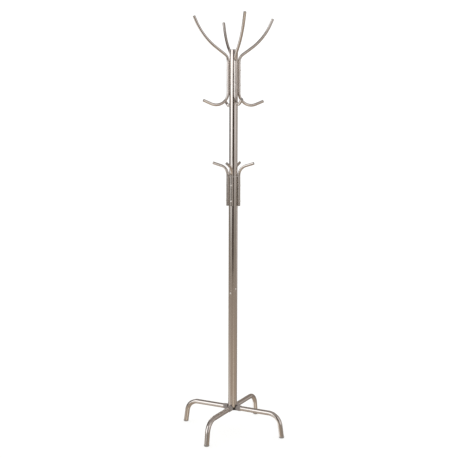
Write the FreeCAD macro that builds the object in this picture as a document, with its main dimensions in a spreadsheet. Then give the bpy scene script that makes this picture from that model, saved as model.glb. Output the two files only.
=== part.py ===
import FreeCAD, Part
import os
from math import cos, radians, sin

import Sketcher
from FreeCAD import Placement, Rotation, Vector

# Standing coat rack. Millimetres and degrees. Origin on the floor under the post, +Z up,
# the front leg along -Y. A three-tube post stands on four bent legs. The upper tube carries
# four double brackets (hat arm above, coat hook below) and turns by hand in the middle tube,
# which carries four small hooks.

SIZES = {
    # post
    "post_diameter": 38.0,
    "post_wall": 1.2,
    "post_foot_height": 101.5,
    "post_joint_height": 610.0,
    "post_rim_height": 1094.0,
    "upper_diameter": 35.5,
    "upper_wall": 1.2,
    "upper_top_height": 1621.0,
    # leg fitting
    "leg_height": 98.0,
    "hub_foot_height": 88.0,
    "hub_top_height": 141.0,
    "hub_recess_depth": 9.0,
    "socket_diameter": 24.0,
    "socket_reach": 40.0,
    "socket_depth_start": 15.0,
    "fit_gap": 0.05,
    # legs and feet
    "leg_diameter": 20.5,
    "leg_wall": 1.5,
    "leg_bend_radius": 53.0,
    "leg_bend_angle": 81.5,
    "foot_circle_radius": 232.5,
    "foot_diameter": 21.8,
    "foot_thickness": 6.0,
    "foot_shank_length": 16.0,
    "leg_screw_reach": 31.0,
    # bolt under the post
    "bolt_diameter": 10.0,
    "bolt_head_width": 16.0,
    "bolt_head_height": 6.4,
    "bolt_length": 80.0,
    "washer_diameter": 24.0,
    "washer_thickness": 2.0,
    "post_plug_length": 26.0,
    # sleeve in the joint of the lower and middle tubes
    "sleeve_length": 120.0,
    "sleeve_wall": 2.0,
    "low_joint_screw_height": 599.0,
    "low_joint_screw_angle": -5.0,
    "high_joint_screw_height": 618.0,
    "high_joint_screw_angle": 66.0,
    # turning joint of the upper tube
    "bush_bore": 30.1,
    "bush_length": 120.0,
    "bush_flange": 1.5,
    "thrust_gap": 0.1,
    "spigot_diameter": 30.0,
    "spigot_bore": 24.0,
    "spigot_depth": 110.0,
    "spigot_rise": 60.0,
    # bent tubes of the brackets and small hooks
    "hook_diameter": 12.0,
    "hook_wall": 1.5,
    # double bracket
    "crown_angle": 42.0,
    "stem_low_height": 1446.0,
    "stem_high_height": 1573.0,
    "coat_bend_radius": 52.0,
    "coat_bend_angle": 112.7,
    "coat_tip_length": 36.0,
    "hat_bend_radius": 38.0,
    "hat_bend_angle": 54.0,
    "hat_run_length": 45.0,
    "hat_sweep_radius": 259.0,
    "hat_sweep_angle": 29.4,
    "hat_tip_length": 23.0,
    "bracket_low_screw_height": 1477.0,
    "bracket_high_screw_height": 1538.5,
    # small hook
    "small_hook_angle": 9.5,
    "small_low_height": 973.0,
    "small_high_height": 1101.5,
    "small_bend_radius": 41.0,
    "small_bend_angle": 72.8,
    "small_tip_length": 37.0,
    "small_low_screw_height": 992.5,
    "small_high_screw_height": 1059.0,
    # plugs and screws
    "plug_shank_length": 12.0,
    "plug_rim": 0.8,
    "plug_dome": 2.4,
    "cap_shank_length": 14.0,
    "screw_diameter": 4.0,
    "screw_head_diameter": 7.2,
    "screw_head_height": 2.4,
    "screw_head_edge": 1.0,
    "screw_length": 14.3,
    "joint_screw_length": 4.5,
    "leg_screw_length": 7.0,
    "screw_seat_depth": 0.9,
    "joint_seat_depth": 0.4,
    # broken edges
    "tube_edge": 0.3,
    "socket_edge": 1.0,
    "hub_edge": 3.0,
}

SIDES = {"front": -90.0, "right": 0.0, "back": 90.0, "left": 180.0}

doc = FreeCAD.newDocument("coat_rack")
sheet = doc.addObject("Spreadsheet::Sheet", "Sizes")
for row, (alias, number) in enumerate(SIZES.items(), start=1):
    sheet.set(f"A{row}", alias)
    sheet.set(f"B{row}", str(number))
    sheet.setAlias(f"B{row}", alias)
doc.recompute()

sub_parts = []


def value(expression):
    """The number that an expression on the sheet's cells gives."""
    result = sheet.evalExpression(str(expression))
    return float(getattr(result, "Value", result))


def bind(target, path, expression):
    target.setExpression(path, str(expression))


# --- lengths worked out from the driving sizes --------------------------------------------

POST_RADIUS = "Sizes.post_diameter / 2"
POST_BORE = "(Sizes.post_diameter - 2 * Sizes.post_wall)"
UPPER_BORE = "(Sizes.upper_diameter - 2 * Sizes.upper_wall)"
UPPER_FOOT = "(Sizes.post_rim_height + Sizes.bush_flange + Sizes.thrust_gap)"
LEG_ANGLE = "(Sizes.leg_bend_angle * 1 deg)"
LEG_DROP = f"((Sizes.leg_height - Sizes.leg_bend_radius * (1 - cos({LEG_ANGLE}))) / sin({LEG_ANGLE}))"
LEG_RUN = (f"(Sizes.foot_circle_radius - Sizes.socket_depth_start - Sizes.leg_bend_radius * sin({LEG_ANGLE})"
           f" - {LEG_DROP} * cos({LEG_ANGLE}))")
LEG_BORE = "(Sizes.leg_diameter - 2 * Sizes.leg_wall)"
HOOK_BORE = "(Sizes.hook_diameter - 2 * Sizes.hook_wall)"
BRACKET_OFFSET = "(Sizes.upper_diameter / 2 + Sizes.hook_diameter / 2)"
SMALL_OFFSET = "(Sizes.post_diameter / 2 + Sizes.hook_diameter / 2)"
BRACKET_MIDDLE = "((Sizes.stem_low_height + Sizes.stem_high_height) / 2)"
HALF_STEM = "((Sizes.stem_high_height - Sizes.stem_low_height) / 2)"
SCREW_SEAT = "Sizes.hook_diameter / 2 - Sizes.screw_seat_depth"
BRACKET_SEAT = f"({BRACKET_OFFSET} + {SCREW_SEAT})"
SMALL_SEAT = f"({SMALL_OFFSET} + {SCREW_SEAT})"
JOINT_SEAT = f"({POST_RADIUS} - Sizes.joint_seat_depth)"
HUB_DIAMETER = f"({POST_BORE} - 2 * Sizes.fit_gap)"
BOLT_SEAT = "(Sizes.hub_foot_height + Sizes.hub_recess_depth - Sizes.washer_thickness)"


# --- sketches ------------------------------------------------------------------------------

def new_body(label, angle=0.0):
    """A sub-part's body, turned about the post's axis."""
    body = doc.addObject("PartDesign::Body", label)
    body.Label = label
    body.Placement = Placement(Vector(), Rotation(Vector(0, 0, 1), angle))
    sub_parts.append(body)
    return body


def origin_feature(body, role):
    return next(feature for feature in body.Origin.OriginFeatures if feature.Role == role)


def new_sketch(body, name, role, out=None, up=None, turn=None):
    """A sketch on an origin plane. It is turned about its own Y, then moved along the plane's
    normal by out and along the plane's Y by up."""
    sketch = body.newObject("Sketcher::SketchObject", f"{body.Label}_{name}")
    sketch.AttachmentSupport = [(origin_feature(body, role), "")]
    sketch.MapMode = "FlatFace"
    if turn is not None:
        sketch.AttachmentOffset = Placement(Vector(), Rotation(Vector(0, 1, 0), value(turn)))
    if out is not None:
        bind(sketch, ".AttachmentOffset.Base.z", out)
    if up is not None:
        bind(sketch, ".AttachmentOffset.Base.y", up)
    return sketch


def constrain(sketch, expression, kind, *references):
    """A dimension of a sketch, bound to an expression. An angle is first set in radians."""
    start = radians(value(expression)) if kind == "Angle" else value(expression)
    index = sketch.addConstraint(Sketcher.Constraint(kind, *references, start))
    bind(sketch, f"Constraints[{index}]", expression)


def pin_point(sketch, geometry, position, x, y):
    """Holds a point at x, y, each an expression or 0 for a point on the axis."""
    if x == 0:
        sketch.addConstraint(Sketcher.Constraint("PointOnObject", geometry, position, -2))
    else:
        constrain(sketch, x, "DistanceX", -1, 1, geometry, position)
    if y == 0:
        sketch.addConstraint(Sketcher.Constraint("PointOnObject", geometry, position, -1))
    else:
        constrain(sketch, y, "DistanceY", -1, 1, geometry, position)


def add_circle(sketch, diameter, x=0, y=0):
    centre = Vector(value(x), value(y), 0)
    circle = sketch.addGeometry(Part.Circle(centre, Vector(0, 0, 1), value(diameter) / 2))
    constrain(sketch, diameter, "Diameter", circle)
    pin_point(sketch, circle, 3, x, y)


def add_ring(sketch, outer, inner, x=0, y=0):
    add_circle(sketch, outer, x, y)
    add_circle(sketch, inner, x, y)


def add_hexagon(sketch, width):
    """A hexagon about the sketch's origin, width across its flats."""
    corner_circle = f"({width}) / cos(30 deg)"
    radius = value(corner_circle) / 2
    circle = sketch.addGeometry(Part.Circle(Vector(), Vector(0, 0, 1), radius), True)
    sketch.addConstraint(Sketcher.Constraint("Coincident", circle, 3, -1, 1))
    constrain(sketch, corner_circle, "Diameter", circle)
    corners = [Vector(radius * cos(radians(60 * k)), radius * sin(radians(60 * k)), 0) for k in range(6)]
    lines = [sketch.addGeometry(Part.LineSegment(corners[k], corners[(k + 1) % 6])) for k in range(6)]
    for k, line in enumerate(lines):
        sketch.addConstraint(Sketcher.Constraint("Coincident", line, 2, lines[(k + 1) % 6], 1))
        sketch.addConstraint(Sketcher.Constraint("PointOnObject", line, 1, circle))
    for line in lines[1:]:
        sketch.addConstraint(Sketcher.Constraint("Equal", lines[0], line))
    sketch.addConstraint(Sketcher.Constraint("PointOnObject", lines[0], 1, -1))


def add_outline(sketch, corners, dome_axis=None):
    """A closed outline of straight lines through the corners, pairs of expressions. With a dome
    axis (-1 across, -2 up), the line into the last corner is an arc centred on that axis."""
    points = [Vector(value(x), value(y), 0) for x, y in corners]
    lines = []
    for k, point in enumerate(points):
        following = points[(k + 1) % len(points)]
        domed = dome_axis is not None and k == len(points) - 2
        shape = dome_arc(point, following, dome_axis) if domed else Part.LineSegment(point, following)
        line = sketch.addGeometry(shape)
        lines.append((line, not starts_at(sketch.Geometry[line], point)))
    for k, (line, backwards) in enumerate(lines):
        after, after_backwards = lines[(k + 1) % len(lines)]
        tail, head = (1, 2) if backwards else (2, 1)
        next_head = 2 if after_backwards else 1
        sketch.addConstraint(Sketcher.Constraint("Coincident", line, tail, after, next_head))
        pin_point(sketch, line, head, *corners[k])
        if dome_axis is not None and k == len(points) - 2:
            sketch.addConstraint(Sketcher.Constraint("PointOnObject", line, 3, dome_axis))


def starts_at(shape, point):
    return shape.StartPoint.distanceToPoint(point) < 1e-6


def arc_about(centre, first, last):
    """The arc about a centre that runs counterclockwise from one point to another."""
    angles = [Vector(1, 0, 0).getAngle(point - centre) * (1 if point.y >= centre.y else -1)
              for point in (first, last)]
    circle = Part.Circle(centre, Vector(0, 0, 1), (first - centre).Length)
    return Part.ArcOfCircle(circle, *angles)


def dome_arc(rim, crown, axis):
    """The short arc from a rim to a crown on the axis, with its centre on the axis."""
    across, along = (rim.x, rim.y - crown.y) if axis == -2 else (rim.y, rim.x - crown.x)
    reach = (across ** 2 + along ** 2) / (2 * along)
    centre = crown + (Vector(0, reach, 0) if axis == -2 else Vector(reach, 0, 0))
    leftward = (rim - centre).cross(crown - centre).z > 0
    return arc_about(centre, rim, crown) if leftward else arc_about(centre, crown, rim)


def walk(start, heading, steps):
    """The points along straights ("run", length) and bends ("bend", radius, angle, side), with
    side 1 to the left and -1 to the right. Gives each step's shape, then the end and its heading."""
    point, shapes = start, []
    for kind, *sizes in steps:
        ahead = Vector(cos(heading), sin(heading), 0)
        if kind == "run":
            end = point + ahead * value(sizes[0])
            shapes.append(Part.LineSegment(point, end))
        else:
            radius, angle, side = value(sizes[0]), value(sizes[1]), sizes[2]
            centre = point + Vector(-ahead.y, ahead.x, 0) * radius * side
            end = centre + Rotation(Vector(0, 0, 1), side * angle).multVec(point - centre)
            shapes.append(arc_about(centre, *((point, end) if side > 0 else (end, point))))
            heading += side * radians(angle)
        point = end
    return shapes, point, heading


def add_path(sketch, x, y, heading, steps):
    """Draws a walk as a tangent chain that starts at x, y. Its first and last steps are runs, and
    each run after a bend is held at its own angle."""
    point = Vector(value(x), value(y), 0)
    shapes = walk(point, radians(heading), steps)[0]
    direction = str(heading)
    before = None
    for (kind, *sizes), shape in zip(steps, shapes):
        line = sketch.addGeometry(shape)
        head, tail = (1, 2) if starts_at(shape, point) else (2, 1)
        if before is None:
            pin_point(sketch, line, head, x, y)
            sketch.addConstraint(Sketcher.Constraint("Vertical" if heading % 180 else "Horizontal", line))
        else:
            sketch.addConstraint(Sketcher.Constraint("Tangent", *before, line, head))
        if kind == "run":
            constrain(sketch, sizes[0], "Distance", line)
            if before is not None:
                constrain(sketch, f"({direction}) * 1 deg", "Angle", line)
        else:
            constrain(sketch, sizes[0], "Radius", line)
            direction += f" {'+' if sizes[2] > 0 else '-'} {sizes[1]}"
        point = shape.EndPoint if tail == 2 else shape.StartPoint
        before = (line, tail)


# --- features ------------------------------------------------------------------------------

def add_feature(body, kind, name, sketch):
    feature = body.newObject(f"PartDesign::{kind}", f"{body.Label}_{name}")
    feature.Profile = sketch
    sketch.Visibility = False
    return feature


def add_pad(body, name, sketch, length):
    pad = add_feature(body, "Pad", name, sketch)
    bind(pad, "Length", length)
    return pad


def add_cut(body, name, sketch, both_ways=False, forward=False):
    """A pocket through all: against the sketch's normal, along it (forward) or both ways."""
    pocket = add_feature(body, "Pocket", name, sketch)
    pocket.Type = "ThroughAll"
    pocket.Midplane = both_ways
    pocket.Reversed = forward
    return pocket


def add_turning(body, name, sketch, axis="V_Axis"):
    revolution = add_feature(body, "Revolution", name, sketch)
    revolution.ReferenceAxis = (sketch, [axis])
    revolution.Angle = 360
    return revolution


def add_pipe(body, name, profile, path):
    pipe = add_feature(body, "AdditivePipe", name, profile)
    pipe.Spine = (path, [])
    path.Visibility = False
    return pipe


def add_polar(body, originals, count=4, angle=360):
    """Repeats features about the body's Z axis."""
    pattern = body.newObject("PartDesign::PolarPattern", f"{body.Label}_around")
    pattern.Originals = originals
    pattern.Axis = (origin_feature(body, "Z_Axis"), [""])
    pattern.Angle = angle
    pattern.Occurrences = count
    body.Tip = pattern
    return pattern


def rim_names(shape, diameter):
    """The names of a shape's full circular edges of one diameter."""
    return [f"Edge{number}" for number, edge in enumerate(shape.Edges, start=1)
            if isinstance(edge.Curve, Part.Circle) and edge.isClosed()
            and abs(edge.Curve.Radius - diameter / 2) < 1e-4]


def round_rims(body, base, diameter, size, kind="Fillet", dimension="Radius"):
    """Rounds or chamfers every full circular edge of one diameter on a feature."""
    doc.recompute()
    edges = rim_names(base.Shape, value(diameter))
    dressing = body.newObject(f"PartDesign::{kind}", f"{base.Label}_{kind.lower()}")
    dressing.Base = (base, edges)
    bind(dressing, dimension, size)
    body.Tip = dressing
    return dressing


def add_tube(body, outer, inner, foot, length):
    """An upright tube on the body's Z axis, with its outer edges chamfered."""
    sketch = new_sketch(body, "section", "XY_Plane", out=foot)
    add_ring(sketch, outer, inner)
    tube = add_pad(body, "tube", sketch, length)
    return round_rims(body, tube, outer, "Sizes.tube_edge", "Chamfer", "Size")


def cut_cross_holes(body, name, heights):
    """Round screw holes through both walls along the body's X axis."""
    sketch = new_sketch(body, name, "YZ_Plane")
    for height in heights:
        add_circle(sketch, "Sizes.screw_diameter", 0, height)
    return add_cut(body, name, sketch, both_ways=True)


def cut_side_hole(body, name, height, angle, start, diameter):
    """One hole through a wall on one side, at an angle about Z, from a distance start outward."""
    sketch = new_sketch(body, name, "YZ_Plane")
    turn = Rotation(Vector(0, 1, 0), value(angle))
    sketch.AttachmentOffset = Placement(turn.multVec(Vector(0, 0, value(start))), turn)
    add_circle(sketch, diameter, 0, height)
    return add_cut(body, name, sketch, forward=True)


# --- base ----------------------------------------------------------------------------------

def make_leg_fitting():
    """Cross fitting: a barrel that stands up inside the post, with four leg sockets round it and
    a recess under it for the bolt's head."""
    body = new_body("leg_fitting", SIDES["front"])
    barrel = new_sketch(body, "barrel", "XY_Plane", out="Sizes.hub_foot_height")
    add_circle(barrel, HUB_DIAMETER)
    barrel_pad = add_pad(body, "barrel_pad", barrel, "Sizes.hub_top_height - Sizes.hub_foot_height")
    round_rims(body, barrel_pad, HUB_DIAMETER, "Sizes.hub_edge", "Chamfer", "Size")
    socket = new_sketch(body, "socket", "YZ_Plane")
    add_circle(socket, "Sizes.socket_diameter", 0, "Sizes.leg_height")
    socket_pad = add_pad(body, "socket_pad", socket, "Sizes.socket_reach")
    bore = new_sketch(body, "bore", "YZ_Plane", out="Sizes.socket_depth_start")
    add_circle(bore, "Sizes.leg_diameter + 2 * Sizes.fit_gap", 0, "Sizes.leg_height")
    hole = new_sketch(body, "hole", "XY_Plane", out="Sizes.leg_height")
    add_circle(hole, "Sizes.screw_diameter", "Sizes.leg_screw_reach", 0)
    seat = new_sketch(body, "seat", "XY_Plane",
                      out="Sizes.leg_height - Sizes.socket_diameter / 2 + Sizes.screw_seat_depth")
    add_circle(seat, "Sizes.screw_head_diameter + 0.2", "Sizes.leg_screw_reach", 0)
    add_polar(body, [socket_pad])
    doc.recompute()
    cuts = [add_cut(body, "bore_cut", bore, forward=True), add_cut(body, "hole_cut", hole),
            add_cut(body, "seat_cut", seat)]
    add_polar(body, cuts)
    recess = new_sketch(body, "recess", "XY_Plane", out=f"{BOLT_SEAT} + Sizes.washer_thickness")
    add_circle(recess, "Sizes.washer_diameter + 1")
    add_cut(body, "recess_cut", recess)
    bolt_hole = new_sketch(body, "bolt_hole", "XY_Plane")
    add_circle(bolt_hole, "Sizes.bolt_diameter + 4 * Sizes.fit_gap")
    bolt_cut = add_cut(body, "bolt_cut", bolt_hole, both_ways=True)
    round_rims(body, bolt_cut, "Sizes.socket_diameter", "Sizes.socket_edge")


def make_leg(side, angle):
    """Bent tube: level out of its socket, then down through a bend to a splayed end."""
    body = new_body(f"leg_{side}", angle)
    section = new_sketch(body, "section", "YZ_Plane", out="Sizes.socket_depth_start")
    add_ring(section, "Sizes.leg_diameter", LEG_BORE, 0, "Sizes.leg_height")
    path = new_sketch(body, "path", "XZ_Plane")
    add_path(path, "Sizes.socket_depth_start", "Sizes.leg_height", 0, [
        ("run", LEG_RUN),
        ("bend", "Sizes.leg_bend_radius", "Sizes.leg_bend_angle", -1),
        ("run", f"{LEG_DROP} - Sizes.foot_thickness"),
    ])
    add_pipe(body, "pipe", section, path)
    hole = new_sketch(body, "hole", "XY_Plane", out="Sizes.leg_height")
    add_circle(hole, "Sizes.screw_diameter", "Sizes.leg_screw_reach", 0)
    add_cut(body, "hole_cut", hole)


def make_foot(side, angle):
    """Foot glide: a shank inside the leg's end and a flange cut level with the floor."""
    body = new_body(f"foot_{side}")
    profile = new_sketch(body, "profile", "XZ_Plane")
    shank = f"({LEG_BORE} / 2 - Sizes.fit_gap)"
    add_outline(profile, [
        (0, "-Sizes.foot_thickness"),
        ("Sizes.foot_diameter / 2", "-Sizes.foot_thickness"),
        ("Sizes.foot_diameter / 2", "Sizes.foot_thickness"),
        (shank, "Sizes.foot_thickness"),
        (shank, "Sizes.foot_thickness + Sizes.foot_shank_length"),
        (0, "Sizes.foot_thickness + Sizes.foot_shank_length"),
    ])
    add_turning(body, "turning", profile)
    tilt = Rotation(Vector(0, 1, 0), value("Sizes.leg_bend_angle") - 90)
    floor = new_sketch(body, "floor", "XY_Plane")
    floor.AttachmentOffset = Placement(Vector(), tilt.inverted())
    add_circle(floor, "4 * Sizes.foot_diameter")
    add_cut(body, "floor_cut", floor)
    turn = Rotation(Vector(0, 0, 1), angle)
    place = turn.multVec(Vector(value("Sizes.foot_circle_radius"), 0, 0))
    body.Placement = Placement(place, turn.multiply(tilt))


def make_leg_screws():
    """Four screws up through the sockets into the legs, as one group."""
    body = new_body("leg_screws", SIDES["front"])
    seat = "(Sizes.leg_height - Sizes.socket_diameter / 2 + Sizes.screw_seat_depth)"
    sketch = new_sketch(body, "profile", "XZ_Plane")
    bind(sketch, ".AttachmentOffset.Base.x", "Sizes.leg_screw_reach")
    add_outline(sketch, [
        (0, f"{seat} + Sizes.leg_screw_length"),
        ("Sizes.screw_diameter / 2", f"{seat} + Sizes.leg_screw_length"),
        ("Sizes.screw_diameter / 2", seat),
        ("Sizes.screw_head_diameter / 2", seat),
        ("Sizes.screw_head_diameter / 2", f"{seat} - Sizes.screw_head_edge"),
        (0, f"{seat} - Sizes.screw_head_height"),
    ], dome_axis=-2)
    add_polar(body, [add_turning(body, "screw", sketch)])


def make_post_bolt():
    """Hexagon-headed bolt up through the leg fitting into the post's plug."""
    body = new_body("post_bolt")
    head = new_sketch(body, "head", "XY_Plane", out=BOLT_SEAT)
    add_hexagon(head, "Sizes.bolt_head_width")
    head_pad = add_pad(body, "head_pad", head, "Sizes.bolt_head_height")
    head_pad.Reversed = True
    shank = new_sketch(body, "shank", "XY_Plane", out=BOLT_SEAT)
    add_circle(shank, "Sizes.bolt_diameter")
    add_pad(body, "shank_pad", shank, "Sizes.bolt_length")


def make_bolt_washer():
    body = new_body("bolt_washer")
    add_tube(body, "Sizes.washer_diameter", "Sizes.bolt_diameter + 4 * Sizes.fit_gap", BOLT_SEAT,
             "Sizes.washer_thickness")


def make_post_plug():
    """Threaded plug fixed in the foot of the post, which the bolt pulls down."""
    add_tube(new_body("post_plug"), HUB_DIAMETER, "Sizes.bolt_diameter", "Sizes.hub_top_height",
             "Sizes.post_plug_length")


# --- post ----------------------------------------------------------------------------------

def joint_hole(body, which, body_angle):
    """The hole and seat in the post's wall for one screw of the joint's sleeve."""
    angle = f"(Sizes.{which}_joint_screw_angle + {SIDES['front']} - ({body_angle}))"
    height = f"Sizes.{which}_joint_screw_height"
    cut_side_hole(body, f"{which}_hole", height, angle, "0", "Sizes.screw_diameter")
    return cut_side_hole(body, f"{which}_seat", height, angle, JOINT_SEAT, "Sizes.screw_head_diameter + 0.2")


def make_lower_tube():
    """The lowest tube. Its foot is notched where it stands over the leg sockets."""
    body = new_body("lower_post_tube")
    add_tube(body, "Sizes.post_diameter", POST_BORE, "Sizes.post_foot_height",
             "Sizes.post_joint_height - Sizes.post_foot_height")
    notch = new_sketch(body, "notch", "YZ_Plane")
    add_circle(notch, "Sizes.socket_diameter + 4 * Sizes.fit_gap", 0, "Sizes.leg_height")
    add_polar(body, [add_cut(body, "notch_cut", notch, both_ways=True)], count=2, angle=90)
    joint_hole(body, "low", 0)


def make_joint_sleeve():
    """Sleeve inside the flush joint of the lower and middle tubes."""
    body = new_body("joint_sleeve")
    outer = f"({POST_BORE} - 2 * Sizes.fit_gap)"
    add_tube(body, outer, f"{outer} - 2 * Sizes.sleeve_wall",
             "Sizes.post_joint_height - Sizes.sleeve_length / 2", "Sizes.sleeve_length")
    for which in ("low", "high"):
        angle = f"(Sizes.{which}_joint_screw_angle + {SIDES['front']})"
        height = f"Sizes.{which}_joint_screw_height"
        cut_side_hole(body, f"{which}_hole", height, angle, "0", "Sizes.screw_diameter")


def make_middle_tube():
    """The tube that carries the small hooks, with the turning joint in its mouth."""
    angle = SIDES["front"] + value("Sizes.small_hook_angle")
    body = new_body("middle_post_tube", angle)
    add_tube(body, "Sizes.post_diameter", POST_BORE, "Sizes.post_joint_height",
             "Sizes.post_rim_height - Sizes.post_joint_height")
    holes = cut_cross_holes(body, "hook_holes", ["Sizes.small_low_screw_height",
                                                 "Sizes.small_high_screw_height"])
    add_polar(body, [holes], count=2, angle=90)
    joint_hole(body, "high", angle)


def make_upper_tube():
    angle = SIDES["front"] + value("Sizes.crown_angle")
    body = new_body("upper_post_tube", angle)
    add_tube(body, "Sizes.upper_diameter", UPPER_BORE, UPPER_FOOT, f"Sizes.upper_top_height - {UPPER_FOOT}")
    holes = cut_cross_holes(body, "bracket_holes", ["Sizes.bracket_low_screw_height",
                                                    "Sizes.bracket_high_screw_height"])
    add_polar(body, [holes], count=2, angle=90)


def make_turning_bush():
    """Plastic bush in the middle tube's mouth. The upper tube stands on its flange."""
    body = new_body("turning_bush", SIDES["front"] + value("Sizes.small_hook_angle"))
    profile = new_sketch(body, "profile", "XZ_Plane")
    inner, outer = "Sizes.bush_bore / 2", f"({POST_BORE} / 2 - Sizes.fit_gap)"
    foot = "(Sizes.post_rim_height - Sizes.bush_length)"
    add_outline(profile, [
        (inner, foot),
        (outer, foot),
        (outer, "Sizes.post_rim_height"),
        (POST_RADIUS, "Sizes.post_rim_height"),
        (POST_RADIUS, "Sizes.post_rim_height + Sizes.bush_flange"),
        (inner, "Sizes.post_rim_height + Sizes.bush_flange"),
    ])
    add_turning(body, "turning", profile)
    sketch = new_sketch(body, "holes", "YZ_Plane", out=f"{SMALL_SEAT} - Sizes.screw_length")
    for height in ("Sizes.small_low_screw_height", "Sizes.small_high_screw_height"):
        add_circle(sketch, "Sizes.screw_diameter", 0, height)
    add_polar(body, [add_cut(body, "hole_cut", sketch, forward=True)])


def make_turning_spigot():
    """Steel spigot fixed in the upper tube's foot, running in the bush."""
    body = new_body("turning_spigot")
    profile = new_sketch(body, "profile", "XZ_Plane")
    bore, inside = "Sizes.spigot_bore / 2", f"({UPPER_BORE} / 2 - Sizes.fit_gap)"
    foot, head = f"({UPPER_FOOT} - Sizes.spigot_depth)", f"({UPPER_FOOT} + Sizes.spigot_rise)"
    add_outline(profile, [
        (bore, foot),
        ("Sizes.spigot_diameter / 2", foot),
        ("Sizes.spigot_diameter / 2", UPPER_FOOT),
        (inside, UPPER_FOOT),
        (inside, head),
        (bore, head),
    ])
    add_turning(body, "turning", profile)


def make_top_cap():
    """Low cap in the open top of the upper tube."""
    body = new_body("top_cap")
    profile = new_sketch(body, "profile", "XZ_Plane", up="Sizes.upper_top_height")
    shank = f"({UPPER_BORE} / 2 - Sizes.fit_gap)"
    add_outline(profile, [
        (0, "-Sizes.cap_shank_length"),
        (shank, "-Sizes.cap_shank_length"),
        (shank, 0),
        ("Sizes.upper_diameter / 2", 0),
        ("Sizes.upper_diameter / 2", "Sizes.plug_rim"),
        (0, "Sizes.plug_dome"),
    ], dome_axis=-2)
    add_turning(body, "turning", profile)


# --- brackets and hooks --------------------------------------------------------------------

HAT_STEPS = [
    ("run", HALF_STEM),
    ("bend", "Sizes.hat_bend_radius", "Sizes.hat_bend_angle", -1),
    ("run", "Sizes.hat_run_length"),
    ("bend", "Sizes.hat_sweep_radius", "Sizes.hat_sweep_angle", 1),
    ("run", "Sizes.hat_tip_length"),
]
COAT_STEPS = [
    ("run", HALF_STEM),
    ("bend", "Sizes.coat_bend_radius", "Sizes.coat_bend_angle", 1),
    ("run", "Sizes.coat_tip_length"),
]
SMALL_STEPS = [
    ("run", "Sizes.small_high_height - Sizes.small_low_height"),
    ("bend", "Sizes.small_bend_radius", "Sizes.small_bend_angle", -1),
    ("run", "Sizes.small_tip_length"),
]


def bend_hook_tube(body, name, offset, height, heading, steps):
    """Sweeps the hook tube's ring along steps that start upright on the stem."""
    section = new_sketch(body, f"{name}_section", "XY_Plane", out=height)
    add_ring(section, "Sizes.hook_diameter", HOOK_BORE, offset, 0)
    path = new_sketch(body, f"{name}_path", "XZ_Plane")
    add_path(path, offset, height, heading, steps)
    return add_pipe(body, name, section, path)


def cut_screw_seats(body, seat, heights):
    """Screw holes through the stem, and level seats for the heads on its outer side."""
    cut_cross_holes(body, "holes", heights)
    sketch = new_sketch(body, "seats", "YZ_Plane", out=seat)
    for height in heights:
        add_circle(sketch, "Sizes.screw_head_diameter + 0.2", 0, height)
    add_cut(body, "seat_cut", sketch, forward=True)


def make_bracket(side, angle):
    """Double bracket, one bent tube: hat arm upwards and coat hook downwards."""
    body = new_body(f"double_bracket_{side}", angle)
    bend_hook_tube(body, "hat_arm", BRACKET_OFFSET, BRACKET_MIDDLE, 90, HAT_STEPS)
    bend_hook_tube(body, "coat_hook", BRACKET_OFFSET, BRACKET_MIDDLE, -90, COAT_STEPS)
    cut_screw_seats(body, BRACKET_SEAT, ["Sizes.bracket_low_screw_height",
                                         "Sizes.bracket_high_screw_height"])


def make_small_hook(side, angle):
    """Small hook: an upright stem that curves outward at its top."""
    body = new_body(f"small_hook_{side}", angle)
    bend_hook_tube(body, "hook", SMALL_OFFSET, "Sizes.small_low_height", 90, SMALL_STEPS)
    cut_screw_seats(body, SMALL_SEAT, ["Sizes.small_low_screw_height", "Sizes.small_high_screw_height"])


def make_end_plug(label, offset, height, heading, steps, angle):
    """Domed plug in the end of a hook tube, at the end of its steps."""
    body = new_body(label)
    profile = new_sketch(body, "profile", "XZ_Plane")
    shank = f"({HOOK_BORE} / 2 - Sizes.fit_gap)"
    add_outline(profile, [
        (0, "-Sizes.plug_shank_length"),
        (shank, "-Sizes.plug_shank_length"),
        (shank, 0),
        ("Sizes.hook_diameter / 2", 0),
        ("Sizes.hook_diameter / 2", "Sizes.plug_rim"),
        (0, "Sizes.plug_dome"),
    ], dome_axis=-2)
    add_turning(body, "turning", profile)
    end, direction = walk(Vector(value(offset), value(height), 0), radians(heading), steps)[1:]
    outward = Rotation(Vector(0, 0, 1), Vector(cos(direction), 0, sin(direction)))
    turn = Rotation(Vector(0, 0, 1), angle)
    body.Placement = Placement(turn.multVec(Vector(end.x, 0, end.y)), turn.multiply(outward))


def make_screws(label, seat, heights, length, angle=0.0, count=4, turns=None):
    """Round-headed screws pointing at the post's axis, as one group."""
    body = new_body(label, angle)
    screws = []
    for number, height in enumerate(heights):
        turn = turns[number] if turns else "0"
        sketch = new_sketch(body, f"profile_{number}", "XZ_Plane", up=height, turn=turn)
        add_outline(sketch, [
            (f"{seat} - {length}", 0),
            (f"{seat} - {length}", "Sizes.screw_diameter / 2"),
            (seat, "Sizes.screw_diameter / 2"),
            (seat, "Sizes.screw_head_diameter / 2"),
            (f"{seat} + Sizes.screw_head_edge", "Sizes.screw_head_diameter / 2"),
            (f"{seat} + Sizes.screw_head_height", 0),
        ], dome_axis=-1)
        screws.append(add_turning(body, f"screw_{number}", sketch, "H_Axis"))
    if count > 1:
        add_polar(body, screws, count)


# --- assembly ------------------------------------------------------------------------------

make_leg_fitting()
make_leg_screws()
make_post_bolt()
make_bolt_washer()
make_post_plug()
make_lower_tube()
make_joint_sleeve()
make_middle_tube()
make_turning_bush()
make_turning_spigot()
make_upper_tube()
make_top_cap()

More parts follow.
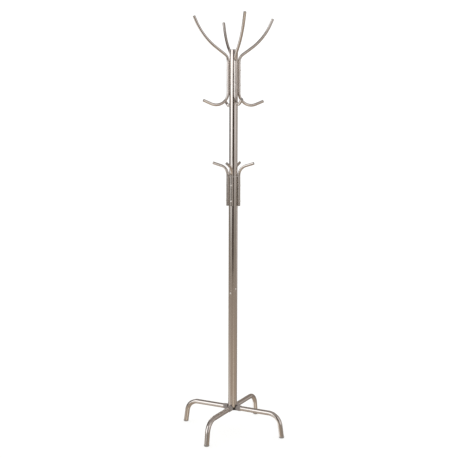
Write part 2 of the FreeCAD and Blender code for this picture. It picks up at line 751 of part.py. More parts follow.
crown_turn = value("Sizes.crown_angle")
small_turn = value("Sizes.small_hook_angle")
for side, angle in SIDES.items():
    make_leg(side, angle)
    make_foot(side, angle)
    make_bracket(side, angle + crown_turn)
    make_end_plug(f"hat_arm_plug_{side}", BRACKET_OFFSET, BRACKET_MIDDLE, 90, HAT_STEPS, angle + crown_turn)
    make_end_plug(f"coat_hook_plug_{side}", BRACKET_OFFSET, BRACKET_MIDDLE, -90, COAT_STEPS,
                  angle + crown_turn)
    make_small_hook(side, angle + small_turn)
    make_end_plug(f"small_hook_plug_{side}", SMALL_OFFSET, "Sizes.small_low_height", 90, SMALL_STEPS,
                  angle + small_turn)
    make_end_plug(f"small_stem_plug_{side}", SMALL_OFFSET, "Sizes.small_low_height", -90, [],
                  angle + small_turn)

make_screws("bracket_screws", BRACKET_SEAT, ["Sizes.bracket_low_screw_height",
            "Sizes.bracket_high_screw_height"], "Sizes.screw_length", SIDES["front"] + crown_turn)
make_screws("small_hook_screws", SMALL_SEAT, ["Sizes.small_low_screw_height",
            "Sizes.small_high_screw_height"], "Sizes.screw_length", SIDES["front"] + small_turn)
make_screws("joint_screws", JOINT_SEAT, ["Sizes.low_joint_screw_height", "Sizes.high_joint_screw_height"],
            "Sizes.joint_screw_length", SIDES["front"], count=1,
            turns=["Sizes.low_joint_screw_angle", "Sizes.high_joint_screw_angle"])

doc.recompute()

failed = [item.Label for item in doc.Objects if "Invalid" in item.State or "Error" in item.State]
if failed:
    raise RuntimeError(f"These did not compute: {', '.join(failed)}")

os.makedirs("parts", exist_ok=True)
for sub_part in sub_parts:
    if sub_part.Shape.isNull() or not sub_part.Shape.isValid():
        raise RuntimeError(f"{sub_part.Label} has no valid shape")
for sub_part in sub_parts:
    sub_part.Shape.exportStep(f"parts/{sub_part.Label}.step")
    print(f"{sub_part.Label}: {len(sub_part.Shape.Solids)} solids, {sub_part.Shape.Volume:.1f} mm3")
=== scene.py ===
"""The looks of the standing coat rack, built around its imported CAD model. All lengths are in metres."""

import math
from collections import namedtuple

import bmesh
import bpy
from mathutils import Matrix, Vector


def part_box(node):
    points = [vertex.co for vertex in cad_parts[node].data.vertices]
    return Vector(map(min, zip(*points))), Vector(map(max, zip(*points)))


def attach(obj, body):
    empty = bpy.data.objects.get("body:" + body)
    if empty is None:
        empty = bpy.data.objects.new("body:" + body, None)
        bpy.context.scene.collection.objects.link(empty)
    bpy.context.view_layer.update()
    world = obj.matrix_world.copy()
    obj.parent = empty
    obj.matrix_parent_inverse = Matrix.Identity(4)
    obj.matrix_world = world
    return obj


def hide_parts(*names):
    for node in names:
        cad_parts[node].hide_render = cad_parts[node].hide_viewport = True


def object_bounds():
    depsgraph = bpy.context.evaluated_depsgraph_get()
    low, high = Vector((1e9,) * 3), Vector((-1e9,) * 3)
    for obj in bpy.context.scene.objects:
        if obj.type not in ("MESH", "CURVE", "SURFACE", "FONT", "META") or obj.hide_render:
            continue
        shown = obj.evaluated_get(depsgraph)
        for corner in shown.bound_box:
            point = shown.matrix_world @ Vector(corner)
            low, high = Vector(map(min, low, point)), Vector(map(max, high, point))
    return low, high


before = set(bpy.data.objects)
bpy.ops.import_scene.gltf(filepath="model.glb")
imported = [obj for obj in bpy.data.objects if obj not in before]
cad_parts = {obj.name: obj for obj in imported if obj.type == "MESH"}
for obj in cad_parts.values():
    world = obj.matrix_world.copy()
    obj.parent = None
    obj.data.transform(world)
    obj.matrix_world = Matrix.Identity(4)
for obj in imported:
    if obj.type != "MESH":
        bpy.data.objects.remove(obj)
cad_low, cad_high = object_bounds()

MM = 0.001
SIDES = ("front", "right", "back", "left")

# The camera: where it stands, how it is turned, its lens and sensor in millimetres, its small
# upright shift in image widths, and how far it sees.
CAMERA_DISTANCE = 3.55
CAMERA_HEIGHT = 1.25
CAMERA_AZIMUTH = math.radians(27)
CAMERA_TURN = math.radians(0.285)
CAMERA_DIP = math.radians(5.38)
CAMERA_ROLL = math.radians(0.17)
CAMERA_LENS = 66.15
CAMERA_SHIFT = -0.0221
SENSOR_WIDTH = 36
CAMERA_REACH = 60

# The studio that the metal mirrors: a dim floor, near and far, a bright strip of wall above it and
# a dim ceiling. FLOOR_SHADE, WALL_FOOT and WALL_HEAD are the heights, in degrees above the
# horizon, over which each gives way to the next.
MIRRORED_FLOOR_NEAR = (0.44, 0.365, 0.30)
MIRRORED_FLOOR_FAR = (0.26, 0.235, 0.21)
MIRRORED_WALL = (2.2, 2.0, 2.0)
MIRRORED_CEILING = (0.36, 0.33, 0.315)
FLOOR_SHADE = (-17, -4)
WALL_FOOT = (3.6, 6.4)
WALL_HEAD = (5.1, 9.1)

# Soft cards that mirrors see in front of that studio. Each is its bearing (degrees to the right of
# the camera, as seen from the rack) and height above the horizon, half its width and height, the
# softness of its edge, all in degrees, and its colour. These numbers weren't placed by hand. They
# began as a search program's fit to the photograph's brightness. All but the second, third and
# seventh rows are still within a degree of it, with its colours over the metal's tint to about
# 3 %, and WALL_FOOT and WALL_HEAD have its heights and half its softness.
CARDS = (
    (-153, 21, 36, 8, 3, (1.9, 1.92, 1.95)),
    (150, 3, 38, 40, 8, (0.29, 0.25, 0.225)),
    (-118, 33, 27, 35, 8, (0.125, 0.112, 0.108)),
    (-55, 21, 24, 24, 12, (1.55, 1.56, 1.6)),
    (48, 23, 26, 25, 11, (0.85, 0.81, 0.81)),
    (-112, -33, 50, 12, 23, (1.3, 1.32, 1.34)),
    (108, 4, 18, 14, 6, (0.55, 0.51, 0.49)),
    (19, -33, 6, 15, 17, (1.55, 1.47, 1.3)),
)

# The even white that the camera and matt surfaces see.
BACKDROP_WHITE = 1.12

# A dark flag by the camera, which only mirrors see. Its bearing is given as the cards' are.
FLAG_BEARING = math.radians(-3)
FLAG_DISTANCE = 3.0
FLAG_HALF_WIDTH = 1.05
FLAG_FOOT = 0.1
FLAG_HEAD = 2.5
FLAG_SOFTNESS = 0.5
FLAG_FOOT_SOFTNESS = 0.2
FLAG_COLOUR = (0.024, 0.014, 0.011, 1)

# The floor the rack stands on, which lights itself so that hardly any shade shows on it.
FLOOR_SIZE = 40.0
FLOOR_GLOW = 2.35
FLOOR_LIGHT_TINT = (0.302, 0.302, 0.30, 1)
FLOOR_DARK_TINT = (0.297, 0.297, 0.295, 1)
FLOOR_CLEARANCE = 0.2 * MM

# Nickel plate: its two smudge tints and the tint of its draw lines.
NICKEL_PALE = (0.745, 0.700, 0.655, 1)
NICKEL_DULL = (0.715, 0.667, 0.620, 1)
NICKEL_LINE = (0.64, 0.595, 0.55, 1)

# The painted shade round the root of the leg fitting, under the post, and how far from the post's axis it
# fades out.
PAINTED_ROOT_SHADE = (0.022, 0.018, 0.015, 1)
PAINTED_ROOT_SHADE_FADE = (21 * MM, 24.5 * MM)

# Facets that meet at more than this angle keep a sharp edge.
SHARP_ANGLE = math.radians(35)


# ---------------------------------------------------------------- node helpers

def add_node(tree, kind, settings=None, **values):
    """A shader node; values are numbers or the sockets that feed its inputs, by input name."""
    node = tree.nodes.new(kind)
    for name, value in (settings or {}).items():
        setattr(node, name, value)
    for name, value in values.items():
        put(tree, node.inputs[name.replace("_", " ")], value)
    return node


def put(tree, socket, value):
    """Sets a socket to a number, or links another node's output to it."""
    if isinstance(value, bpy.types.NodeSocket):
        tree.links.new(value, socket)
    else:
        socket.default_value = value


def maths(tree, operation, *values):
    """The result of one operation on numbers or sockets."""
    node = tree.nodes.new("ShaderNodeMath")
    node.operation = operation
    for socket, value in zip(node.inputs, values):
        put(tree, socket, value)
    return node.outputs[0]


def spread(tree, value, low, high, to_low, to_high):
    """value, eased from the range low..high to the range to_low..to_high."""
    node = add_node(tree, "ShaderNodeMapRange", {"interpolation_type": "SMOOTHSTEP"},
                    From_Min=low, From_Max=high, To_Min=to_low, To_Max=to_high)
    put(tree, node.inputs["Value"], value)
    return node.outputs[0]


def mix_colour(tree, share, first, second):
    """first, with a share of second mixed in."""
    node = tree.nodes.new("ShaderNodeMix")
    node.data_type = "RGBA"
    put(tree, node.inputs[0], share)
    put(tree, node.inputs[6], first)
    put(tree, node.inputs[7], second)
    return node.outputs[2]


def noise(tree, place, scale, detail=3.0, distortion=0.0):
    """Soft noise between 0 and 1, with scale blots to a unit of place."""
    node = add_node(tree, "ShaderNodeTexNoise", Scale=scale, Detail=detail,
                    Roughness=0.55, Distortion=distortion, Vector=place)
    return node.outputs[0]


def stretched(tree, place, scale):
    """place, multiplied by scale along each axis."""
    return add_node(tree, "ShaderNodeMapping", Vector=place, Scale=scale).outputs[0]


def bumped(tree, height, strength, distance, under=None):
    """A normal bumped by height, on top of an earlier bump if there is one under it."""
    node = add_node(tree, "ShaderNodeBump", Strength=strength, Distance=distance, Height=height)
    if under is not None:
        tree.links.new(under, node.inputs["Normal"])
    return node.outputs[0]


def new_material(name):
    """An empty material: its tree, its shader and the socket of object coordinates."""
    material = bpy.data.materials.new(name)
    material.use_nodes = True
    tree = material.node_tree
    shader = tree.nodes["Principled BSDF"]
    place = tree.nodes.new("ShaderNodeTexCoord").outputs["Object"]
    return material, tree, shader, place


# ---------------------------------------------------------------- materials

def nickel(name, grain_scale):
    """Satin-bright nickel plate with smudges, fine pits and faint draw lines. The lines run along
    the axis where grain_scale is small, and equal scales give an even grain instead."""
    material, tree, shader, place = new_material(name)
    smudges = noise(tree, place, 9.0, detail=4.0, distortion=0.6)
    haze = noise(tree, place, 55.0, detail=3.0)
    lines = noise(tree, stretched(tree, place, grain_scale), 1.0, detail=2.0)
    pits = noise(tree, place, 2600.0, detail=1.0)
    plate = mix_colour(tree, spread(tree, smudges, 0.35, 0.68, 0.0, 1.0), NICKEL_PALE, NICKEL_DULL)
    tint = mix_colour(tree, spread(tree, lines, 0.45, 0.75, 0.0, 0.2), plate, NICKEL_LINE)
    tree.links.new(tint, shader.inputs["Base Color"])
    shader.inputs["Metallic"].default_value = 1.0
    rough = maths(tree, "ADD", spread(tree, smudges, 0.3, 0.7, 0.085, 0.13),
                  spread(tree, haze, 0.35, 0.7, 0.0, 0.03))
    rough = maths(tree, "ADD", rough, spread(tree, lines, 0.4, 0.8, 0.0, 0.03))
    tree.links.new(rough, shader.inputs["Roughness"])
    surface = bumped(tree, lines, 0.015, 0.00003)
    surface = bumped(tree, pits, 0.01, 0.00001, surface)
    tree.links.new(surface, shader.inputs["Normal"])
    return material


def steel(name, colour, rough_low, rough_high, metallic):
    """Zinc-plated steel. Its chalky passivated skin is what metallic leaves over."""
    material, tree, shader, place = new_material(name)
    grain = noise(tree, place, 700.0, detail=3.0)
    stains = noise(tree, place, 60.0, detail=3.0)
    dark = tuple(channel * 0.78 for channel in colour)
    tint = mix_colour(tree, spread(tree, stains, 0.4, 0.7, 0.0, 0.8), (*colour, 1), (*dark, 1))
    tree.links.new(tint, shader.inputs["Base Color"])
    shader.inputs["Metallic"].default_value = metallic
    tree.links.new(spread(tree, grain, 0.3, 0.7, rough_low, rough_high), shader.inputs["Roughness"])
    tree.links.new(bumped(tree, grain, 0.12, 0.0001), shader.inputs["Normal"])
    return material


def enamel(name, colour):
    """Grey stove enamel of the leg fitting: orange peel and rubbed paler in patches, with painted shade
    round its root, where it goes up into the post."""
    material, tree, shader, place = new_material(name)
    cloud = noise(tree, place, 40.0, detail=4.0)
    peel = noise(tree, place, 520.0, detail=2.0)
    pale = tuple(min(1.0, channel * 1.15) for channel in colour)
    tint = mix_colour(tree, spread(tree, cloud, 0.35, 0.7, 0.0, 0.6), (*colour, 1), (*pale, 1))
    level = stretched(tree, place, (1, 1, 0))
    reach = add_node(tree, "ShaderNodeVectorMath", {"operation": "LENGTH"}, Vector=level).outputs["Value"]
    # Painted shade: the fitting turns near black close to the post's axis, fading out with a ragged edge.
    shade_reach = maths(tree, "ADD", reach, spread(tree, cloud, 0.3, 0.7, -1.2 * MM, 1.2 * MM))
    root = spread(tree, shade_reach, *PAINTED_ROOT_SHADE_FADE, 1.0, 0.0)
    tint = mix_colour(tree, root, tint, PAINTED_ROOT_SHADE)
    tree.links.new(tint, shader.inputs["Base Color"])
    tree.links.new(spread(tree, cloud, 0.3, 0.7, 0.42, 0.56), shader.inputs["Roughness"])
    shader.inputs["Specular IOR Level"].default_value = 0.3
    tree.links.new(bumped(tree, peel, 0.2, 0.00012), shader.inputs["Normal"])
    return material


def moulded(name, colour, rough):
    """Moulded plastic with a fine spark-eroded texture and scuffs."""
    material, tree, shader, place = new_material(name)
    texture = noise(tree, place, 1500.0, detail=2.0)
    cloud = noise(tree, place, 30.0, detail=4.0)
    scuffs = noise(tree, stretched(tree, place, (160.0, 160.0, 900.0)), 1.0, detail=2.0)
    pale = tuple(min(1.0, channel * 1.35 + 0.01) for channel in colour)
    tint = mix_colour(tree, spread(tree, cloud, 0.35, 0.75, 0.0, 0.5), (*colour, 1), (*pale, 1))
    tint = mix_colour(tree, spread(tree, scuffs, 0.62, 0.8, 0.0, 0.3), tint, (*pale, 1))
    tree.links.new(tint, shader.inputs["Base Color"])
    tree.links.new(spread(tree, scuffs, 0.3, 0.8, rough - 0.06, rough + 0.12),
                   shader.inputs["Roughness"])
    tree.links.new(bumped(tree, texture, 0.2, 0.0001), shader.inputs["Normal"])
    return material


# ---------------------------------------------------------------- studio

def soft_card(tree, across, height, flatness, card, behind):
    """Lays one soft-edged card over what is behind it. across is the bearing and height the
    elevation, in degrees, and flatness is the cosine of the elevation."""
    bearing, rise, half_width, half_height, softness, colour = card
    offset = maths(tree, "WRAP", maths(tree, "SUBTRACT", across, bearing), 180, -180)
    sideways = maths(tree, "SUBTRACT", half_width, maths(tree, "ABSOLUTE", offset))
    inside_width = spread(tree, maths(tree, "MULTIPLY", sideways, flatness),
                          -softness / 2, softness / 2, 0.0, 1.0)
    above = maths(tree, "ABSOLUTE", maths(tree, "SUBTRACT", height, rise))
    upwards = maths(tree, "SUBTRACT", half_height, above)
    inside_height = spread(tree, upwards, -softness / 2, softness / 2, 0.0, 1.0)
    share = maths(tree, "MULTIPLY", inside_width, inside_height)
    return mix_colour(tree, share, behind, (*colour, 1))


def make_studio():
    """White all round for the eye and for matt surfaces; light cards and a dim floor for mirrors."""
    world = bpy.data.worlds.new("studio")
    bpy.context.scene.world = world
    world.use_nodes = True
    tree = world.node_tree
    tree.nodes.clear()
    direction = tree.nodes.new("ShaderNodeTexCoord").outputs["Generated"]
    parts = add_node(tree, "ShaderNodeSeparateXYZ", Vector=direction)
    turned = maths(tree, "DEGREES", maths(tree, "ARCTAN2", parts.outputs["Y"], parts.outputs["X"]))
    across = maths(tree, "SUBTRACT", turned, math.degrees(CAMERA_AZIMUTH) - 90)
    elevation = maths(tree, "ARCSINE", parts.outputs["Z"])
    height = maths(tree, "DEGREES", elevation)
    flatness = maths(tree, "COSINE", elevation)
    mirrored = mix_colour(tree, spread(tree, height, *FLOOR_SHADE, 0.0, 1.0),
                          (*MIRRORED_FLOOR_NEAR, 1), (*MIRRORED_FLOOR_FAR, 1))
    mirrored = mix_colour(tree, spread(tree, height, *WALL_FOOT, 0.0, 1.0), mirrored,
                          (*MIRRORED_WALL, 1))
    mirrored = mix_colour(tree, spread(tree, height, *WALL_HEAD, 0.0, 1.0), mirrored,
                          (*MIRRORED_CEILING, 1))
    for card in CARDS:
        mirrored = soft_card(tree, across, height, flatness, card, mirrored)
    plain = add_node(tree, "ShaderNodeBackground", Color=(1, 1, 1, 1), Strength=BACKDROP_WHITE)
    cards = add_node(tree, "ShaderNodeBackground", Color=mirrored, Strength=1.0)
    ray = tree.nodes.new("ShaderNodeLightPath")
    mixed = tree.nodes.new("ShaderNodeMixShader")
    tree.links.new(ray.outputs["Is Glossy Ray"], mixed.inputs[0])
    tree.links.new(plain.outputs[0], mixed.inputs[1])
    tree.links.new(cards.outputs[0], mixed.inputs[2])
    output = tree.nodes.new("ShaderNodeOutputWorld")
    tree.links.new(mixed.outputs[0], output.inputs[0])


def make_floor():
    """The plain pale floor, which mirrors don't see: they see the studio's floor instead."""
    mesh = bpy.data.meshes.new("studio_floor")
    half = FLOOR_SIZE / 2
    corners = [(-half, -half, 0), (half, -half, 0), (half, half, 0), (-half, half, 0)]
    mesh.from_pydata(corners, [], [(0, 1, 2, 3)])
    floor = bpy.data.objects.new("studio_floor", mesh)
    bpy.context.scene.collection.objects.link(floor)
    floor.location.z = cad_low.z - FLOOR_CLEARANCE
    material, tree, shader, place = new_material("studio_floor")
    cloud = noise(tree, place, 3.0)
    tint = mix_colour(tree, spread(tree, cloud, 0.3, 0.7, 0.0, 1.0), FLOOR_LIGHT_TINT, FLOOR_DARK_TINT)
    tree.links.new(tint, shader.inputs["Base Color"])
    shader.inputs["Roughness"].default_value = 0.9
    tree.links.new(tint, shader.inputs["Emission Color"])
    shader.inputs["Emission Strength"].default_value = FLOOR_GLOW
    mesh.materials.append(material)
    floor.visible_glossy = False


def make_flag():
    """The dark flag, fading out at its edges."""
    mesh = bpy.data.meshes.new("studio_flag")
    half, low, high = FLAG_HALF_WIDTH, FLAG_FOOT, FLAG_HEAD
    corners = [(-half, 0, low), (half, 0, low), (half, 0, high), (-half, 0, high)]
    mesh.from_pydata(corners, [], [(0, 1, 2, 3)])
    flag = bpy.data.objects.new("studio_flag", mesh)
    bpy.context.scene.collection.objects.link(flag)
    turn = CAMERA_AZIMUTH + FLAG_BEARING
    flag.location = (FLAG_DISTANCE * math.sin(turn), -FLAG_DISTANCE * math.cos(turn), 0)
    flag.rotation_euler.z = turn
    material, tree, shader, place = new_material("studio_flag")
    parts = add_node(tree, "ShaderNodeSeparateXYZ", Vector=place)
    aside = maths(tree, "ABSOLUTE", parts.outputs["X"])
    cover = spread(tree, aside, half - FLAG_SOFTNESS, half, 1.0, 0.0)
    rise = spread(tree, parts.outputs["Z"], low, low + FLAG_FOOT_SOFTNESS, 0.0, 1.0)
    fall = spread(tree, parts.outputs["Z"], high - FLAG_SOFTNESS, high, 1.0, 0.0)
    cover = maths(tree, "MULTIPLY", maths(tree, "MULTIPLY", cover, rise), fall)
    tree.links.new(cover, shader.inputs["Alpha"])
    shader.inputs["Base Color"].default_value = FLAG_COLOUR
    shader.inputs["Roughness"].default_value = 1.0
    shader.inputs["Specular IOR Level"].default_value = 0.0
    mesh.materials.append(material)
    flag.visible_camera = False
    flag.visible_diffuse = False
    flag.visible_shadow = False


def make_camera():
    """Stands the camera in its place and makes it the scene's own."""
    data = bpy.data.cameras.new("camera")
    data.lens = CAMERA_LENS
    data.sensor_width = SENSOR_WIDTH
    data.shift_y = CAMERA_SHIFT
    data.clip_end = CAMERA_REACH
    camera = bpy.data.objects.new("camera", data)
    bpy.context.scene.collection.objects.link(camera)
    place = Matrix.Translation((CAMERA_DISTANCE * math.sin(CAMERA_AZIMUTH),
                                -CAMERA_DISTANCE * math.cos(CAMERA_AZIMUTH), CAMERA_HEIGHT))
    turn = Matrix.Rotation(CAMERA_AZIMUTH + CAMERA_TURN, 4, "Z")
    dip = Matrix.Rotation(math.pi / 2 - CAMERA_DIP, 4, "X")
    roll = Matrix.Rotation(CAMERA_ROLL, 4, "Z")
    camera.matrix_world = place @ turn @ dip @ roll
    bpy.context.scene.camera = camera


def finish_nodes(material, *names):
    """Gives CAD nodes a finish in place of the plain one they come with."""
    for name in names:
        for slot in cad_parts[name].material_slots:
            slot.material = material


def each_side(*stems):
    """The names of nodes that come once for each side."""
    return [stem + "_" + side for stem in stems for side in SIDES]


# ---------------------------------------------------------------- measuring the CAD's turned parts

Facet = namedtuple("Facet", "area normal middle corners")
Turned = namedtuple("Turned", ("seat", "outward", "head_radius", "head_height", "rim_height",
                               "shank_radius", "shank_length"))


def solids(name):
    """The separate solids of a CAD node, each a list of its facets."""
    mesh = bmesh.new()
    mesh.from_mesh(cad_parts[name].data)
    bmesh.ops.remove_doubles(mesh, verts=mesh.verts, dist=1e-6)
    waiting = set(mesh.faces)
    found = []
    while waiting:
        grown = [waiting.pop()]
        for face in grown:
            beside = {other for edge in face.edges for other in edge.link_faces if other in waiting}
            waiting -= beside
            grown.extend(beside)
        found.append([Facet(face.calc_area(), face.normal.copy(), face.calc_center_median(),
                            [vertex.co.copy() for vertex in face.verts]) for face in grown])
    mesh.free()
    found.sort(key=lambda solid: tuple(round(part, 4) for part in solid_middle(solid)))
    return found


def solid_middle(solid):
    """The middle of a solid's skin, by area."""
    whole = sum(facet.area for facet in solid)
    return sum((facet.middle * facet.area for facet in solid), Vector()) / whole


def measure(solid, upward=False):
    """The place and sizes of a turned solid. Its seat and the end of its shank are its largest flat
    faces, or the largest that look up, and they face against its outward axis."""
    areas = {}
    for facet in solid:
        if not upward or facet.normal.z > 0.5:
            key = tuple(round(part, 2) for part in facet.normal)
            areas[key] = areas.get(key, 0.0) + facet.area
    inward = Vector(max(areas, key=areas.get)).normalized()
    flat = [facet for facet in solid if facet.normal.dot(inward) > 0.9995]
    outward = -sum((facet.normal * facet.area for facet in flat), Vector()).normalized()
    middle = solid_middle(flat)

    def height(point):
        return (point - middle).dot(outward)

    def radius(point):
        return (point - middle - outward * height(point)).length

    points = [corner for facet in solid for corner in facet.corners]
    seat = max(height(corner) for facet in flat for corner in facet.corners)
    foot = min(height(corner) for facet in flat for corner in facet.corners)
    widest = max(radius(point) for point in points)
    return Turned(
        seat=middle + outward * seat,
        outward=outward,
        head_radius=widest,
        head_height=max(height(point) for point in points) - seat,
        rim_height=max(height(point) for point in points if radius(point) > 0.99 * widest) - seat,
        shank_radius=max(radius(point) for point in points if height(point) < foot + 0.01 * MM),
        shank_length=seat - foot,
    )


# ---------------------------------------------------------------- turned pieces

def eased(*corners):
    """Rows of (radius, height, sixness) along corners given with the size of their rounding too."""
    rows = [corners[0][:3]]
    for before, corner, after in zip(corners, corners[1:], corners[2:]):
        rounding = corner[3]
        if rounding == 0:
            rows.append(corner[:3])
            continue
        here = Vector(corner[:2])
        start, end = (here + (Vector(other[:2]) - here).normalized() * rounding
                      for other in (before, after))
        for step in (0.0, 0.25, 0.5, 0.75, 1.0):
            point = start * (1 - step) ** 2 + here * 2 * step * (1 - step) + end * step ** 2
            rows.append((point.x, point.y, corner[2]))
    rows.append(corners[-1][:3])
    return rows


def ring_points(radius, height, sixness, around):
    """Points round the axis. sixness turns the circle into a hexagon of that half width."""
    points = []
    for number in range(around):
        angle = 2 * math.pi * number / around
        from_flat = (angle + math.pi / 6) % (math.pi / 3) - math.pi / 6
        reach = radius * (1 - sixness + sixness / math.cos(from_flat))
        points.append(Vector((reach * math.cos(angle), reach * math.sin(angle), height)))
    return points


def add_turned(mesh, rows, place, around=48, ring=False, floor_gaps=None):
    """Adds a turned skin to a bmesh. Rows with radius 0 are poles, and ring joins the last row to the
    first. floor_gaps puts the rows named by number at a height above the floor instead."""
    rings = []
    for number, (radius, height, sixness) in enumerate(rows):
        count = 1 if radius == 0 else around
        points = [place @ point for point in ring_points(radius, height, sixness, count)]
        if floor_gaps and number in floor_gaps:
            axis = (place.to_3x3() @ Vector((0, 0, 1))).normalized()
            level = cad_low.z + floor_gaps[number]
            points = [point + axis * ((level - point.z) / axis.z) for point in points]
        rings.append([mesh.verts.new(point) for point in points])
    pairs = list(zip(rings, rings[1:]))
    if ring:
        pairs.append((rings[-1], rings[0]))
    for lower, upper in pairs:
        for number in range(around):
            after = (number + 1) % around
            corners = [lower[number % len(lower)], lower[after % len(lower)],
                       upper[after % len(upper)], upper[number % len(upper)]]
            mesh.faces.new(list(dict.fromkeys(corners)))


def make_piece(name, mesh, material, body, nodes):
    """Turns a bmesh into a smooth piece that stands for CAD nodes and rides on their body."""
    bmesh.ops.recalc_face_normals(mesh, faces=mesh.faces)
    data = bpy.data.meshes.new(name)
    mesh.to_mesh(data)
    mesh.free()
    data.shade_smooth()
    data.set_sharp_from_angle(angle=SHARP_ANGLE)
    data.materials.append(material)
    piece = bpy.data.objects.new(name, data)
    bpy.context.scene.collection.objects.link(piece)
    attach(piece, body)
    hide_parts(*nodes)


def upright(seat, outward):
    """The matrix that stands a turned part on its seat with its axis outward."""
    return Matrix.Translation(seat) @ outward.to_track_quat("Z", "Y").to_matrix().to_4x4()


def thread(radius, depth, pitch, foot, head):
    """Rows of thread crests and roots from a foot height up to a head height."""
    count = int((head - foot) / pitch)
    rows = []
    for number in range(count):
        rows.append((radius - depth, foot + number * pitch, 0))
        rows.append((radius, foot + (number + 0.5) * pitch, 0))
    return rows


def dome(shape, share):
    """The height of a part's dome at a share of its radius."""
    return shape.head_height - (shape.head_height - shape.rim_height) * share ** 2


def screw_rows(shape):
    """Button head with a hexagon socket, and a threaded shank, from the crown to the tip."""
    edge = shape.head_radius
    key = 0.36 * edge
    rows = [(0, dome(shape, 0) - 1.55 * MM, 0), (key * 0.96, dome(shape, 0) - 1.4 * MM, 1),
            (key, dome(shape, 0.5) - 0.12 * MM, 1), (key * 1.22, dome(shape, 0.44), 0)]
    rows += [(share * edge, dome(shape, share), 0) for share in (0.55, 0.66, 0.77, 0.87)]
    rows += eased((0.93 * edge, dome(shape, 0.93), 0), (edge, shape.rim_height, 0, 0.22 * MM),
                  (edge, 0, 0, 0.16 * MM), (shape.shank_radius, 0, 0))
    tip = -shape.shank_length
    rows += reversed(thread(shape.shank_radius, 0.3 * MM, 0.7 * MM, tip + 0.6 * MM, -0.5 * MM))
    return rows + [(shape.shank_radius - 0.6 * MM, tip, 0), (0, tip, 0)]


def plug_rows(shape):
    """Domed end plug with a moulding gate's dimple and a ribbed shank, from the crown inward."""
    edge, rim = shape.head_radius, shape.rim_height
    gate = 0.13 * edge
    crown = dome(shape, 0.15)
    rows = [(0, crown - 0.22 * MM, 0), (gate, crown - 0.22 * MM, 0), (gate * 1.15, crown, 0)]
    rows += [(share * edge, dome(shape, share), 0) for share in (0.3, 0.45, 0.6, 0.72, 0.82, 0.9)]
    rows += eased((0.93 * edge, dome(shape, 0.93), 0), (edge, rim, 0, 0.3 * MM),
                  (edge, 0, 0, 0.14 * MM), (shape.shank_radius, 0, 0))
    step = shape.shank_length / 5
    valley = shape.shank_radius - 0.45 * MM
    for number in range(4):
        top = -(number + 0.25) * step
        rows += [(valley, top, 0), (valley, top - 0.4 * step, 0),
                 (shape.shank_radius, top - 0.55 * step, 0), (shape.shank_radius, top - 0.75 * step, 0)]
    return rows + [(shape.shank_radius - 0.6 * MM, -shape.shank_length, 0), (0, -shape.shank_length, 0)]


def make_turned_pieces(material, slot_name, body, row_maker, *names):
    """One piece for each CAD node, with a detailed turned part for each of its solids."""
    for name in names:
        mesh = bmesh.new()
        for solid in solids(name):
            shape = measure(solid)
            add_turned(mesh, row_maker(shape), upright(shape.seat, shape.outward))
        make_piece(name + "_detail", mesh, material, body, [name])


def make_foot(name, material):
    """Foot glide with a rolled lip, a moulded groove, a hollow under it and a ribbed shank."""
    shape = measure(solids(name)[0], upward=True)
    edge, shank, length = shape.head_radius, shape.shank_radius, shape.shank_length
    rows = [(0, -length, 0), (shank - 0.8 * MM, -length, 0)]
    for number in range(4):
        foot = -length + (number + 0.3) * length / 5
        rows += [(shank, foot, 0), (shank, foot + 1.2 * MM, 0),
                 (shank - 0.5 * MM, foot + 1.6 * MM, 0), (shank - 0.5 * MM, foot + 2.4 * MM, 0)]
    rows += eased((shank, 0, 0), (edge, 0, 0, 0.4 * MM), (edge, 0.8 * MM, 0, 0.15 * MM),
                  (edge - 0.4 * MM, 1.0 * MM, 0, 0.1 * MM), (edge - 0.4 * MM, 1.3 * MM, 0, 0.1 * MM),
                  (edge, 1.5 * MM, 0))
    sole = ((edge, 2.7), (edge - 0.2 * MM, 1.8), (edge - 0.7 * MM, 0.9), (edge - 1.5 * MM, 0.3),
            (edge - 2.6 * MM, 0.0), (edge - 4.4 * MM, 0.0), (edge - 4.8 * MM, 0.8), (0, 0.8))
    floor_gaps = {len(rows) + number: gap * MM for number, (_, gap) in enumerate(sole)}
    rows += [(radius, shape.head_height, 0) for radius, _ in sole]
    mesh = bmesh.new()
    add_turned(mesh, rows, upright(shape.seat, shape.outward), floor_gaps=floor_gaps)
    make_piece(name + "_detail", mesh, material, "stand", [name])


def radii(name):
    """(height, radius about the post's axis) of every vertex of a CAD node."""
    return [(vertex.co.z, vertex.co.xy.length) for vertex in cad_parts[name].data.vertices]


def make_bolt(material):
    """Bolt under the post: chamfered hexagon head with a washer face, and a threaded shank."""
    foot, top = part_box("post_bolt")[0].z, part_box("post_bolt")[1].z
    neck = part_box("bolt_washer")[0].z
    places = radii("post_bolt")
    half_width = max(radius for _, radius in places) * math.cos(math.pi / 6)
    shank = min(radius for height, radius in places if height > top - 1 * MM and radius > 0)
    rows = [(0, foot + 0.3 * MM, 0), (half_width * 0.55, foot + 0.3 * MM, 0),
            (half_width * 0.62, foot, 0), (half_width * 0.94, foot, 0), (half_width, foot + 0.9 * MM, 1),
            (half_width, neck - 0.9 * MM, 1), (half_width * 0.96, neck - 0.3 * MM, 0),
            (half_width * 0.93, neck, 0), (shank, neck, 0)]
    rows += thread(shank, 0.6 * MM, 1.5 * MM, neck + 2 * MM, top - 1 * MM)
    rows += [(shank - 1 * MM, top, 0), (0, top, 0)]
    mesh = bmesh.new()
    add_turned(mesh, rows, Matrix.Identity(4))
    make_piece("post_bolt_detail", mesh, material, "stand", ["post_bolt"])


def make_washer(material):
    """Plain washer with rounded edges."""
    low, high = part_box("bolt_washer")
    inner = min(radius for _, radius in radii("bolt_washer"))
    outer = high.x
    soft = 0.35 * MM
    half_way = (inner, (low.z + high.z) / 2, 0)
    rows = eased(half_way, (inner, high.z, 0, soft), (outer, high.z, 0, soft),
                 (outer, low.z, 0, soft), (inner, low.z, 0, soft), half_way)
    mesh = bmesh.new()
    add_turned(mesh, rows[:-1], Matrix.Identity(4), ring=True)
    make_piece("bolt_washer_detail", mesh, material, "stand", ["bolt_washer"])


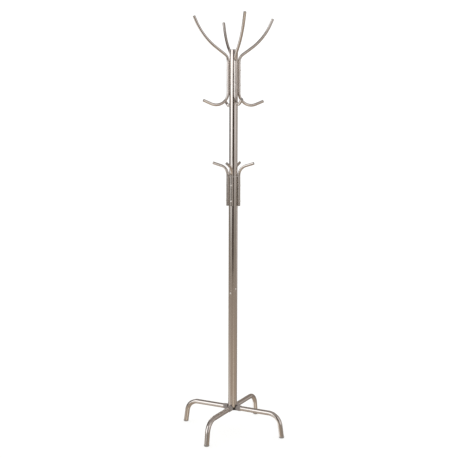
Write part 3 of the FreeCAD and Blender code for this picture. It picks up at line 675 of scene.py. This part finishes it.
def make_bush(material):
    """Bush of the turning joint: a rolled flange on the tube's rim over a plain sleeve."""
    low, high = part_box("turning_bush")
    places = radii("turning_bush")
    bore = min(radius for _, radius in places)
    sleeve = max(radius for height, radius in places if height < low.z + 1 * MM)
    flange = max(radius for _, radius in places)
    rim = min(height for height, radius in places if radius > flange - 0.1 * MM)
    half_way = (bore, (low.z + high.z) / 2, 0)
    rows = eased(half_way, (bore, high.z, 0, 0.6 * MM), (flange, high.z, 0, 0.6 * MM),
                 (flange, rim, 0, 0.25 * MM), (sleeve, rim, 0, 0), (sleeve, low.z, 0, 1.2 * MM),
                 (bore, low.z, 0, 0.8 * MM), half_way)
    mesh = bmesh.new()
    add_turned(mesh, rows[:-1], Matrix.Identity(4), around=96, ring=True)
    make_piece("turning_bush_detail", mesh, material, "stand", ["turning_bush"])


make_camera()
make_studio()
make_floor()
make_flag()

post_nickel = nickel("nickel_post", (900.0, 900.0, 5.0))
bent_nickel = nickel("nickel_bent", (420.0, 420.0, 420.0))
finish_nodes(post_nickel, "lower_post_tube", "middle_post_tube", "upper_post_tube")
finish_nodes(bent_nickel, *each_side("leg", "double_bracket", "small_hook"))
screw_steel = steel("screw_steel", (0.88, 0.85, 0.82), 0.24, 0.38, 0.72)
inner_steel = steel("inner_steel", (0.55, 0.54, 0.53), 0.3, 0.45, 1.0)
finish_nodes(inner_steel, "joint_sleeve", "post_plug", "turning_spigot")
finish_nodes(enamel("fitting_grey", (0.235, 0.205, 0.188)), "leg_fitting")
plug_plastic = moulded("plug_plastic", (0.20, 0.18, 0.165), 0.42)
foot_plastic = moulded("foot_plastic", (0.24, 0.215, 0.195), 0.5)

make_turned_pieces(screw_steel, "screw_steel", "crown", screw_rows, "bracket_screws")
make_turned_pieces(screw_steel, "screw_steel", "stand", screw_rows,
                   "small_hook_screws", "joint_screws", "leg_screws")
make_turned_pieces(plug_plastic, "plug_plastic", "crown", plug_rows,
                   *each_side("hat_arm_plug", "coat_hook_plug"), "top_cap")
make_turned_pieces(plug_plastic, "plug_plastic", "stand", plug_rows,
                   *each_side("small_hook_plug", "small_stem_plug"))
for foot in each_side("foot"):
    make_foot(foot, foot_plastic)
make_bolt(screw_steel)
make_washer(screw_steel)
make_bush(moulded("bush_plastic", (0.52, 0.49, 0.46), 0.35))

bpy.context.scene.view_settings.view_transform = "Standard"
